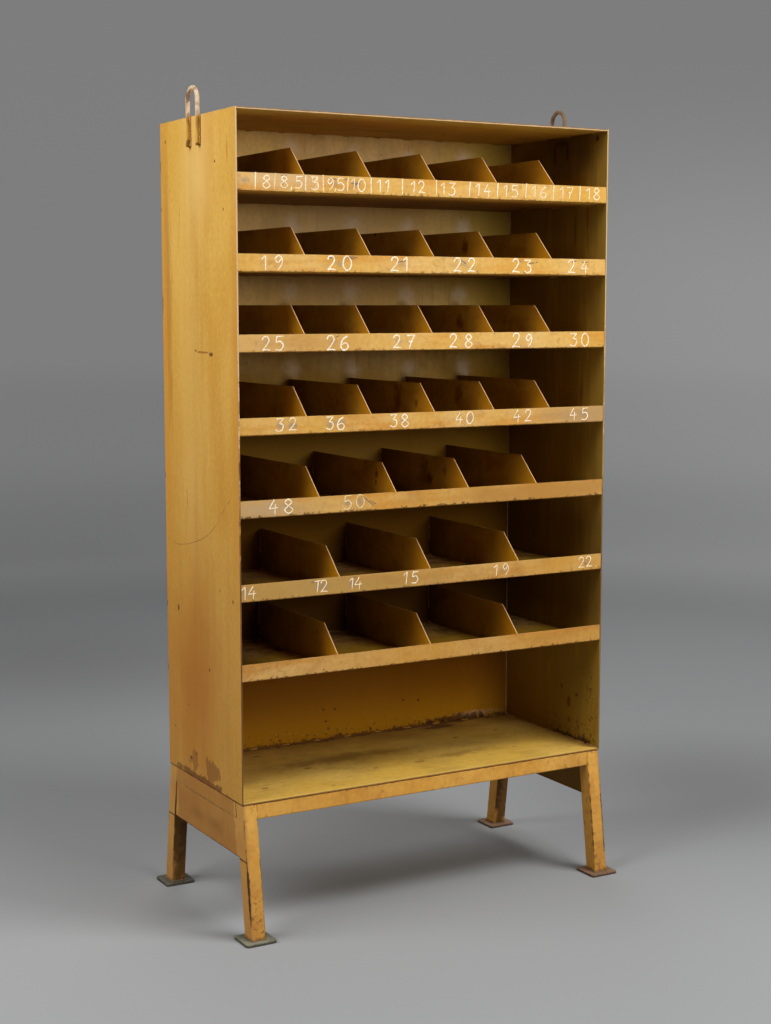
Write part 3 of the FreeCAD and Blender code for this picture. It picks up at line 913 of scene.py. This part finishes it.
def tray_welds():
    """Stitches that hold each tray to the side panels and the back, from below."""
    lip = lip_face + 3 * MM
    for row, z in tray_low.items():
        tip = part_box(f"tray_{row}")[1].z
        for wall in WALLS:
            yield from stitches((wall, lip_face + 12 * MM, z), (wall, back_face, z), 3, 24, 2.2)
            yield line((wall, lip, z + 8 * MM), (wall, lip, tip - 3 * MM), 1.4)
        yield from stitches((inside_left, back_face, z), (inside_right, back_face, z), 7, 22, 2.2)


def divider_welds():
    """A run down each divider's rear edge and tacks at its foot."""
    rear = back_face - 0.5 * MM
    for lo, hi in divider_boxes.values():
        for x, run in ((lo.x, 62 * MM), (hi.x, 40 * MM)):
            yield line((x, rear, hi.z - 5 * MM), (x, rear, hi.z - run), 1.9)
            yield line((x, back_face - 12 * MM, lo.z), (x, back_face - 2 * MM, lo.z), 3.0)
            yield line((x, lip_face + 6 * MM, lo.z), (x, lip_face + 16 * MM, lo.z), 2.4)


def foot_welds():
    """Fillets round the legs' feet on the bare plates."""
    deep = 20 * MM
    for name in sorted(frame["nodes"]):
        if name.endswith("foot_plate"):
            lo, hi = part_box(name)
            leg_lo, leg_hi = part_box(name.replace("foot_plate", "leg"))
            middle = (lo + hi) / 2
            wide = (leg_hi.x - leg_lo.x) / 2
            corners = [(middle.x + sx * wide, middle.y + sy * deep, plate_top)
                       for sx, sy in ((-1, -1), (1, -1), (1, 1), (-1, 1), (-1, -1))]
            yield from (line(a, b, 2.4) for a, b in zip(corners, corners[1:]))


def stand_welds():
    """Seams of the rails and aprons."""
    lo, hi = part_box("front_rail")
    for x in (lo.x, hi.x):
        for y in (hi.y, -hi.y):
            yield line((x, y, rail_bottom + 3 * MM), (x, y, bottom - 3 * MM), 1.8)
        for y0, y1 in ((lo.y + 4 * MM, hi.y), (-hi.y, -lo.y - 4 * MM)):
            yield line((x, y0, rail_bottom), (x, y1, rail_bottom), 1.8)
    reach = abs(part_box("front_left_leg")[1].y) - 2 * MM
    for x in (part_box("left_apron")[0].x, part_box("right_apron")[1].x):
        yield line((x, -reach, rail_bottom), (x, reach, rail_bottom), 1.3)


def loop_welds():
    """Runs down both flanks of each foot of the lifting loops."""
    for side, name in ((-1, "left_lifting_loop"), (1, "right_lifting_loop")):
        lo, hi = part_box(name)
        bar = hi.x - lo.x
        skin = side * (abs(outside_left) + 1.2 * MM)
        for y in (lo.y, hi.y - bar):
            for flank in (y + 0.6 * MM, y + bar - 0.6 * MM):
                yield line((skin, flank, lo.z + 3 * MM), (skin, flank, top - 4 * MM))
            yield line((skin, y + 3 * MM, lo.z), (skin, y + bar - 3 * MM, lo.z), 2.4)


def spatter_patches():
    """Thin strips of sheet beside the welds where spatter has stuck."""
    across = (inside_right - inside_left, 0, 0)
    inwards = (0, back_face - front - 20 * MM, 0)
    strips = [((inside_left, back_face - 30 * MM, shelf_top), across, (0, 30 * MM, 0))]
    for wall, away in ((inside_left, 1), (inside_right, -1)):
        near = (wall, front + 20 * MM, shelf_top)
        strips += [(near, (away * 26 * MM, 0, 0), inwards), (near, inwards, (0, 0, 45 * MM)),
                   ((wall, back_face - 200 * MM, ceiling - 40 * MM), (0, 200 * MM, 0), (0, 0, 40 * MM))]
    strips.append(((inside_left, back_face, shelf_top), across, (0, 0, 36 * MM)))
    mesh = bpy.data.meshes.new("spatter_patches")
    points, faces = [], []
    for strip in strips:
        corner, along, up = (Vector(part) for part in strip)
        faces.append(range(len(points), len(points) + 4))
        points += [corner, corner + along, corner + along + up, corner + up]
    mesh.from_pydata(points, [], faces)
    return mesh


def weld_the_rack():
    bead = weld_bead_tree()
    paint = weld_finish("weld_paint")
    # paler paint for the corner beads: painted highlight
    pale = weld_finish("corner_weld_paint", Paint=0xD6B47C, Faded=0xDCC49C)
    dark = weld_finish("shell_weld_paint", Paint=0xAA7A2C, Faded=0xB88A3C)
    bare = weld_finish(
        "foot_weld_steel", Paint=0x705A3E, Faded=0x826C4E, Smear=0x5A3E24, Grime=0x3C2616, Crevice=0.7)
    beads = (
        ("corner_weld_beads", corner_welds(), "side_panel_paint", pale),
        ("shell_weld_beads", shell_welds(), "back_panel_paint", dark),
        ("tray_weld_beads", tray_welds(), "tray_paint", paint),
        ("divider_weld_beads", divider_welds(), "divider_paint", paint),
        ("stand_weld_beads", stand_welds(), "stand_paint", paint),
        ("loop_weld_beads", loop_welds(), "loop_paint", paint),
        ("foot_weld_beads", foot_welds(), "foot_plate_steel", bare),
    )
    for seed, (name, paths, slot, material) in enumerate(beads, start=3):
        grown(name, path_mesh(name + "_lines", paths), bead, slot, Seed=seed, Ripple_Spacing=2.4 * MM,
              Unevenness=0.22, Material=material)
    grown("weld_spatter", spatter_patches(), spatter_tree(), "side_panel_paint", Density=1500.0,
          Size=1.0 * MM, Seed=11, Material=paint)


# ---------------- hand-painted numbers

# Brush strokes of each sign in a cell 100 wide and 100 high; one of three or more points is a curve
GLYPHS = {
    "0": [[(50, 100), (14, 78), (10, 30), (45, 0), (84, 24), (86, 70), (50, 100)]],
    "1": [[(12, 74), (48, 100)], [(50, 100), (50, 50), (46, 0)]],
    "2": [[(12, 76), (26, 97), (62, 98), (78, 74), (52, 38), (10, 4)], [(10, 4), (45, 8), (94, 3)]],
    "3": [[(12, 96), (86, 98)], [(86, 98), (42, 60)], [(42, 60), (80, 50), (82, 14), (45, -2), (6, 12)]],
    "4": [[(60, 100), (10, 38)], [(10, 38), (96, 42)], [(70, 66), (64, -2)]],
    "5": [[(20, 96), (90, 100)], [(22, 96), (17, 56)], [(17, 56), (60, 62), (86, 34), (60, 2), (8, 6)]],
    "6": [[(82, 97), (36, 76), (12, 34), (30, 2), (72, 4), (86, 30), (60, 50), (20, 36)]],
    "7": [[(10, 94), (92, 98)], [(92, 98), (56, 45), (38, 0)], [(30, 50), (80, 54)]],
    "8": [[(50, 54), (18, 77), (48, 100), (82, 78), (50, 54), (10, 25), (46, 0), (90, 24), (50, 54)]],
    "9": [[(82, 78), (50, 99), (16, 74), (42, 50), (82, 78), (78, 36), (42, 0)]],
    "I": [[(10, 93), (90, 100)], [(55, 98), (52, 50), (50, 0)]],
    ",": [[(50, 14), (34, -14)]],
    ".": [[(42, 3), (52, 4)]],
    "|": [[(50, 116), (48, 50), (50, -12)]],
}

# For each tray: height of the signs, their middle above the lip's lower edge and half the brush's width, all
# in mm, then each number as (text, middle from the rack's middle in mm, spacing in mm, fade)
NUMBERS = {
    1: (27, 22, 1.35, [
        ("|", -453, 0, 0.2), ("8", -426, 0, 0.1), ("|", -406, 0, 0.9), ("8,5", -365, 18, 0.2),
        ("|", -330, 0, 0.3), ("9", -307, 0, 1.0), ("3", -307, 0, 0.3), ("|", -286, 0, 0.6),
        ("9,5", -255, 13, 0.2), ("|", -224, 0, 0.5), ("10", -198, 19, 0.3), ("|", -164, 0, 0.1),
        ("11", -130, 21, 0.1), ("|", -82, 0, 0.3), ("12", -41, 20, 0.2), ("|", 9, 0, 0.4),
        ("13", 40, 22, 0.1), ("|", 100, 0, 0.2), ("14", 137, 23, 0.1), ("|", 178, 0, 0.2),
        ("15", 215, 23, 0.3), ("|", 259, 0, 0.3), ("16", 297, 24, 0.6), ("|", 339, 0, 0.5),
        ("17", 377, 21, 0.7), ("|", 417, 0, 0.2), ("18", 456, 22, 0.3)]),
    2: (31, 21, 1.65, [
        ("19", -414, 32, 0.3), ("20", -246, 40, 0.0), ("21", -86, 32, 0.0), ("22", 87, 39, 0.0),
        ("23", 249, 34, 0.1), ("24", 414, 38, 0.2)]),
    3: (32, 20, 1.65, [
        ("25", -414, 33, 0.2), ("26", -251, 34, 0.1), ("27", -78, 36, 0.0), ("28", 78, 42, 0.0),
        ("29", 253, 36, 0.1), ("30", 421, 35, 0.3)]),
    4: (29, 22, 1.5, [
        ("32", -382, 32, 0.4), ("36", -258, 28, 0.1), ("38", -90, 30, 0.2), ("40", 89, 31, 0.3),
        ("42", 255, 33, 0.2), ("45", 423, 36, 0.2)]),
    5: (31, 23, 1.5, [("48", -397, 38, 0.2), ("50", -210, 33, 1.0)]),
    6: (28, 22, 1.25, [
        ("14", -479, 17, 0.4), ("I2", -297, 17, 0.3), ("14", -207, 15, 0.4), ("15", -58, 23, 0.2),
        ("19", 197, 26, 0.5), ("22.", 460, 23, 0.2)]),
}

# Pencil marks beside and under the numbers: tray, then middle, height above the lip's lower edge and length
# in mm, and tilt
PENCIL = [
    (1, -384, 36, 14, 0.0), (1, -383, 22, 9, 1.2), (1, -262, 33, 18, -0.1), (1, -206, 24, 22, 0.0),
    (1, -199, 27, 12, 0.7), (1, -228, 33, 9, 0.2), (2, -268, 34, 12, 0.1), (2, -216, 36, 34, -0.05),
    (2, -214, 33, 16, -0.1), (2, -84, 28, 22, 0.1), (2, -96, 24, 10, 0.8), (2, 82, 30, 16, -0.6),
    (2, 104, 35, 14, 0.1), (2, 240, 34, 12, -0.5), (2, 276, 28, 18, 0.1), (2, 292, 30, 6, 0.5),
    (2, 402, 34, 14, 0.2), (2, 436, 32, 20, 0.15), (5, -174, 24, 34, -0.75), (5, -160, 20, 16, -0.6),
    (6, -316, 33, 12, 0.1), (6, -210, 36, 10, 0.1), (3, -252, 34, 8, 0.4),
]

# Scratches on the left side panel: fade, half width in mm, then points as (place towards the back, height)
SCRATCHES = [
    (0.1, 0.9, [(0.209, 0.879), (0.165, 0.870), (0.113, 0.871), (0.008, 0.894), (-0.065, 0.926),
                (-0.122, 0.972), (-0.166, 1.006)]),
    (0.0, 1.0, [(0.082, 1.007), (0.080, 0.990), (0.075, 0.958)]),
    (0.5, 0.7, [(0.101, 1.664), (0.106, 1.620), (0.112, 1.572)]),
    (0.6, 0.7, [(-0.066, 0.820), (-0.060, 0.760), (-0.064, 0.700)]),
    (0.6, 0.6, [(0.085, 0.960), (0.088, 0.860), (0.082, 0.760)]),
]


def curved(points, steps=5):
    """Smooth run through points, or the points themselves where there are only two."""
    if len(points) < 3:
        return points
    closed = points[0] == points[-1]
    before = points[-2] if closed else points[0]
    after = points[1] if closed else points[-1]
    padded = [before] + points + [after]
    run = []
    for a, b, c, d in zip(padded, padded[1:], padded[2:], padded[3:]):
        for k in range(steps):
            t = k / steps
            run.append(tuple(
                0.5 * (2 * q + (r - p) * t + (2 * p - 5 * q + 4 * r - s) * t ** 2
                       + (3 * q - p - 3 * r + s) * t ** 3)
                for p, q, r, s in zip(a, b, c, d)))
    return run + [points[-1]]


def number_paths(rng, row):
    """Brush strokes of one tray's numbers, every sign a little different."""
    height, above, half_brush, labels = NUMBERS[row]
    paths = []
    for text, middle, spacing, fade in labels:
        for place, sign in enumerate(text):
            shift = (place - (len(text) - 1) / 2) * spacing
            tilt = rng.uniform(-0.06, 0.08)
            high = height * rng.uniform(0.95, 1.05)
            wide = high * 0.8
            lift = rng.uniform(-1.0, 1.0)
            brush = half_brush * rng.uniform(0.9, 1.1)
            for stroke in GLYPHS[sign]:
                chain = curved([(u / 100, v / 100) for u, v in stroke])
                radii, spots = [], []
                for k, (u, v) in enumerate(chain):
                    along = k / max(len(chain) - 1, 1)
                    radii.append(brush * (1.1 - 0.45 * along ** 3) * MM)
                    x = middle + shift + (u - 0.5) * wide + (v - 0.5) * high * tilt
                    z = above + (v - 0.5) * high + lift
                    spots.append(Vector((x * MM, lip_face, tray_low[row] + z * MM)))
                paths.append((spots, radii, fade))
    return paths


def paint_numbers_and_lines():
    rng = random.Random(5)
    tree = brush_stroke_tree()
    chalk = thin_finish("number_paint", (300, 4, 0.7), (0.42, 0.64, 0.0, 0.75), 0.6, 0xFCF2DC, 0xE0B874,
                        (0.6, 0.8), 0.4)
    pencil = thin_finish("pencil_grey", (520, 3, 0.6), (0.38, 0.66), 0.0, 0x3E3636, 0x8C7052,
                         (0.45, 0.7), 0.3)
    scratch = thin_finish("scratch_brown", (60, 4, 0.7), (0.4, 0.62), 1.0, 0x804E1C, 0xBC8438,
                          (0.6, 0.8), 0.3)
    on_lips = dict(tree=tree, slot="tray_paint", Facing=(0.0, 1.0, 0.0), Face=lip_face)
    for row in NUMBERS:
        name = f"painted_numbers_{row}"
        grown(name, path_mesh(name + "_lines", number_paths(rng, row)), Thickness=0.25 * MM,
              Raggedness=0.8, Material=chalk, **on_lips)
    paths = []
    for row, middle, above, length, tilt in PENCIL:
        start = tray_low[row] + above * MM
        paths.append(([Vector(((middle + length * t) * MM, lip_face,
                               start + (length * t * tilt + rng.uniform(-0.6, 0.6)) * MM))
                       for t in (-0.5, -0.2, 0.15, 0.5)], 1.0 * MM, 0.0))
    grown("pencil_marks", path_mesh("pencil_lines", paths), Thickness=0.3 * MM, Raggedness=1.2,
          Material=pencil, **on_lips)
    paths = [([Vector((outside_left, y, z)) for y, z in curved(chain, 8)], width * MM, fade)
             for fade, width, chain in SCRATCHES]
    grown("side_scratches", path_mesh("side_scratch_lines", paths), tree, "side_panel_paint",
          Facing=(1.0, 0.0, 0.0), Face=outside_left, Thickness=0.15 * MM, Raggedness=1.0, Material=scratch)


# ---------------- studio

# Camera fitted to the photograph: angles in degrees, lens and sensor in mm
CAMERA_PLACE = (-2.06529, -3.61560, 1.43846)
CAMERA_YAW = 29.662
CAMERA_PITCH = -6.955
LENS = 59.65
SENSOR = 36.0

FLOOR_RADIUS = 5.8
BEND_RADIUS = 2.5
WALL_HEIGHT = 7.0
BOWL_SIDES = 96
BEND_STEPS = 10

# Lamps that look at the rack's middle: place, size, power
LAMPS = {
    "key_lamp": ((2.0, -2.5, 4.8), 1.7, 172),
    "low_lamp": ((0.9, -4.4, 2.15), 1.6, 104),
    "side_lamp": ((-3.6, -0.15, 3.45), 3.4, 176),
    "back_lamp": ((0.9, 2.5, 4.8), 2.0, 40),
}


def stage_object(name, data, place=(0, 0, 0), turn=(0, 0, 0)):
    item = bpy.data.objects.new(name, data)
    item.location = place
    item.rotation_euler = turn
    bpy.context.scene.collection.objects.link(item)
    return item


def camera():
    data = bpy.data.cameras.new("camera")
    data.sensor_fit = "VERTICAL"
    data.sensor_width = SENSOR
    data.sensor_height = SENSOR
    data.lens = LENS
    turn = (math.radians(90 + CAMERA_PITCH), 0, math.radians(-CAMERA_YAW))
    bpy.context.scene.camera = stage_object("camera", data, CAMERA_PLACE, turn)


def bowl_finish():
    """Grey that darkens up the wall. A painted glow there, seen by the camera and in gloss, evens the
    backdrop and brightens it near the horizon and to the right. Two painted shadows darken the floor.
    """
    material, n, where = new_material("studio_grey")
    place = n.xyz(where)
    ray = n.add("ShaderNodeLightPath")
    n.colour = n.mix(place.Z.span(0.05, 1.0), (0.296, 0.302, 0.306, 1), (0.12, 0.12, 0.12, 1))
    # painted shadows on the floor, behind the rack and to its right
    add_marks(n, where, where, [
        ((0.2, 0.2, 0.205, 1), 0.6, (0.2, 2.8, 0.0), (1500, 1400, 500), 0.0, 6, 0.0),
        ((0.18, 0.18, 0.185, 1), 0.7, (1.25, 0.25, 0.0), (850, 800, 500), 0.0, 6, 0.0),
    ])
    away = (where * (1.0, 1.0, 0.0)).length()
    horizon = away.span(3.9, 5.7, 0.0, 0.066) * place.Z.span(0.95, 0.3)
    rightwards = place.X.span(2.4, 6.6, 0.0, 0.08) * place.Z.span(3.2, 1.4)
    brighter = place.X.span(1.2, 3.0, 0.0, 0.036) * away.span(7.0, 5.6)
    glow = place.Z.span(0.05, 1.1, 0.0, 0.165) + (horizon + rightwards + brighter)
    seen = ray.Is_Camera_Ray | ray.Is_Glossy_Ray | ray.Is_Transmission_Ray
    shader = n.add("ShaderNodeBsdfPrincipled", {
        "Base Color": n.colour, "Roughness": 0.9, "Emission Color": (1, 1, 1, 1),
        "Emission Strength": glow * seen})
    unseen = n.add("ShaderNodeNewGeometry").Backfacing * ray.Is_Camera_Ray
    clear = n.add("ShaderNodeBsdfTransparent")
    both = n.add("ShaderNodeMixShader", {0: unseen, 1: shader[0], 2: clear[0]})
    n.add("ShaderNodeOutputMaterial", {"Surface": both[0]})
    return material


def studio_bowl():
    """Pale floor that curves up into a wall all round. Its underside lets the camera through."""
    profile = [(0.02, 0.0), (1.2, 0.0), (3.0, 0.0), (FLOOR_RADIUS, 0.0)]
    profile += [(FLOOR_RADIUS + BEND_RADIUS * math.sin(a), BEND_RADIUS * (1 - math.cos(a)))
                for a in (math.pi / 2 * k / BEND_STEPS for k in range(1, BEND_STEPS + 1))]
    profile.append((FLOOR_RADIUS + BEND_RADIUS, WALL_HEIGHT))
    points, faces = [], []
    for radius, z in profile:
        points += [(radius * math.cos(a), radius * math.sin(a), z)
                   for a in (2 * math.pi * k / BOWL_SIDES for k in range(BOWL_SIDES))]
    for ring in range(len(profile) - 1):
        for k in range(BOWL_SIDES):
            a, b = ring * BOWL_SIDES + k, ring * BOWL_SIDES + (k + 1) % BOWL_SIDES
            faces.append((a + BOWL_SIDES, b + BOWL_SIDES, b, a))
    faces.append(tuple(range(BOWL_SIDES)))
    mesh = bpy.data.meshes.new("studio_floor")
    mesh.from_pydata(points, [], faces)
    mesh.polygons.foreach_set("use_smooth", [True] * len(mesh.polygons))
    mesh.validate()
    mesh.materials.append(bowl_finish())
    stage_object("studio_floor", mesh)


def studio():
    camera()
    studio_bowl()
    for name, (place, size, power) in LAMPS.items():
        data = bpy.data.lights.new(name, "AREA")
        data.shape = "SQUARE"
        data.size = size
        data.energy = power
        aim = Vector((0.0, 0.0, 1.0)) - Vector(place)
        stage_object(name, data, place, aim.to_track_quat("-Z", "Y").to_euler()).visible_camera = False
    world = bpy.data.worlds.new("studio_air")
    world.use_nodes = True
    air = world.node_tree.nodes["Background"].inputs
    air["Color"].default_value = (1, 1, 1, 1)
    air["Strength"].default_value = 0.01
    bpy.context.scene.world = world
    bpy.context.scene.view_settings.view_transform = "Standard"


# ---------------- the rack

dress_nodes()
weld_the_rack()
paint_numbers_and_lines()
studio()
